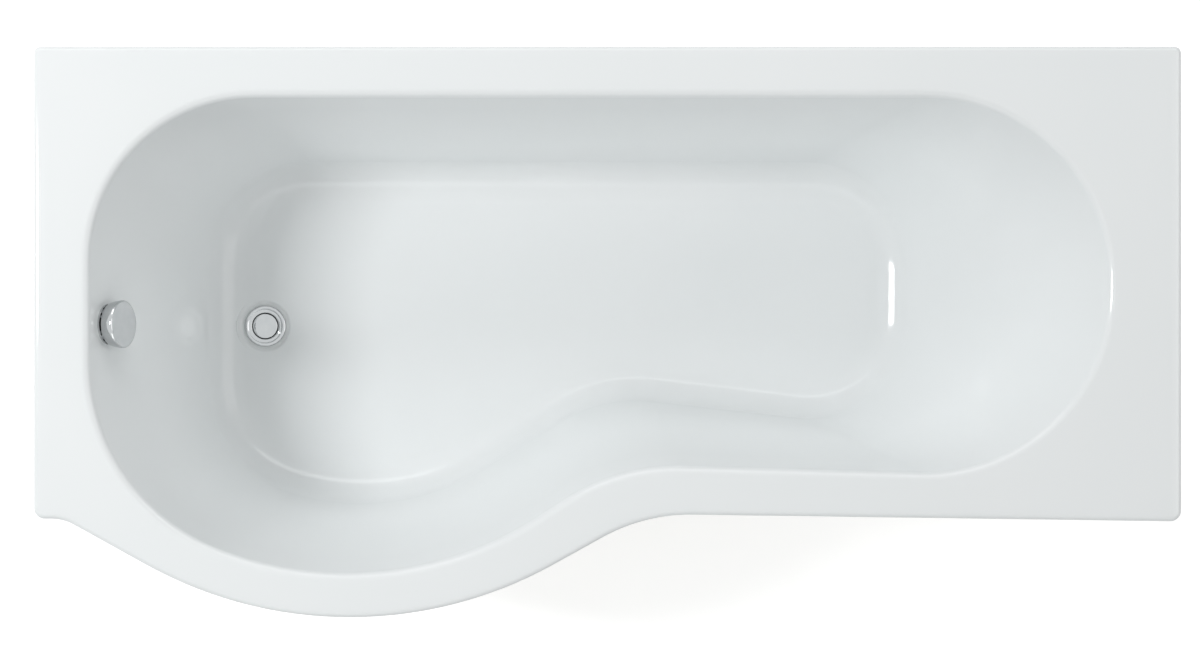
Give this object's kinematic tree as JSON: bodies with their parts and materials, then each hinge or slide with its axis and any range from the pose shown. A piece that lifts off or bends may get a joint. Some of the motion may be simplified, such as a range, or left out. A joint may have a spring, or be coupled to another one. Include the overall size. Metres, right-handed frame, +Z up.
{
  "type": "p shaped shower bath",
  "caption": "Shower bath with a P shaped rim and well, rounded at the shower end, with backing, leg set, and a pop-up waste worked by a rotary overflow knob.",
  "frame": {"origin": "on the floor under the middle of the bounding box", "axes": "+X from the waste end to the backrest end, +Y towards the wall, +Z up"},
  "size_m": [1.7, 0.846, 0.55],
  "materials": {
    "acrylic": "high gloss white acrylic",
    "glass_fibre": "rough glass fibre reinforced resin",
    "board": "raw chipboard under a thin coat of resin",
    "timber": "raw softwood",
    "zinc_steel": "bright zinc plate",
    "black_plastic": "moulded, fine grain",
    "chrome": "polished chrome plate",
    "rubber": "smooth",
    "white_plastic": "moulded, satin",
    "hose": "moulded, satin",
    "brass": "turned",
    "cable": "smooth sheath"
  },
  "bodies": {
    "bath": {"bath_shell": "acrylic", "grp_backing": "glass_fibre", "base_board": "board", "rim_batten_rear": "timber", "rim_batten_front": "timber", "rim_batten_waste_end": "timber", "rim_batten_back_end": "timber", "leg_channel_waste_end": "zinc_steel", "leg_channel_back_end": "zinc_steel", "centre_foot_bracket": "zinc_steel", "channel_screws": "zinc_steel", "stud_nuts": "zinc_steel", "wall_bracket_1": "zinc_steel", "wall_bracket_2": "zinc_steel", "bracket_screws": "zinc_steel", "waste_flange": "chrome", "flange_seal": "rubber", "waste_washer": "rubber", "waste_body": "white_plastic", "lever_cover": "white_plastic", "lever_pin": "zinc_steel", "overflow_plate": "white_plastic", "overflow_gasket": "rubber", "overflow_body": "white_plastic", "overflow_screws": "zinc_steel", "overflow_hose": "hose", "hose_seal_top": "rubber", "hose_seal_bottom": "rubber", "hose_nut_top": "white_plastic", "hose_nut_bottom": "white_plastic", "bowden_cable": "cable", "cable_ferrule_top": "brass", "cable_ferrule_bottom": "brass"},
    "knob": {"overflow_knob": "chrome", "knob_spindle": "white_plastic", "cable_drum": "white_plastic"},
    "plug": {"waste_plug": "chrome", "plug_seal": "rubber", "plug_stem": "brass"},
    "lever": {"lift_lever": "brass"},
    "foot_1": {"foot_stud_1": "zinc_steel", "foot_pad_1": "black_plastic"},
    "foot_2": {"foot_stud_2": "zinc_steel", "foot_pad_2": "black_plastic"},
    "foot_3": {"foot_stud_3": "zinc_steel", "foot_pad_3": "black_plastic"},
    "foot_4": {"foot_stud_4": "zinc_steel", "foot_pad_4": "black_plastic"},
    "foot_5": {"foot_stud_5": "zinc_steel", "foot_pad_5": "black_plastic"}
  },
  "joints": [
    {"name": "knob_turn", "type": "hinge", "parent": "bath", "child": "knob", "pos_m": [-0.75357, 0.012, 0.494], "axis": [0.9641, 0, 0.2656], "range_deg": [0, 90]},
    {"name": "plug_lift", "type": "slide", "parent": "bath", "child": "plug", "axis": [0, 0, 1], "range_m": [0, 0.01]},
    {"name": "lever_turn", "type": "hinge", "parent": "bath", "child": "lever", "pos_m": [-0.583, 0.046, 0.1002], "axis": [1, 0, 0], "range_deg": [-17.15, 0]},
    {"name": "foot_1_screw", "type": "slide", "parent": "bath", "child": "foot_1", "axis": [0, 0, -1], "range_m": [-0.006, 0.011]},
    {"name": "foot_2_screw", "type": "slide", "parent": "bath", "child": "foot_2", "axis": [0, 0, -1], "range_m": [-0.006, 0.011]},
    {"name": "foot_3_screw", "type": "slide", "parent": "bath", "child": "foot_3", "axis": [0, 0, -1], "range_m": [-0.006, 0.011]},
    {"name": "foot_4_screw", "type": "slide", "parent": "bath", "child": "foot_4", "axis": [0, 0, -1], "range_m": [-0.006, 0.011]},
    {"name": "foot_5_screw", "type": "slide", "parent": "bath", "child": "foot_5", "axis": [0, 0, -1], "range_m": [-0.006, 0.011]}
  ],
  "couplings": [
    {"joint": "plug_lift", "follows": "knob_turn", "m_per_rad": 0.0063662},
    {"joint": "lever_turn", "follows": "knob_turn", "ratio": -0.19005}
  ]
}
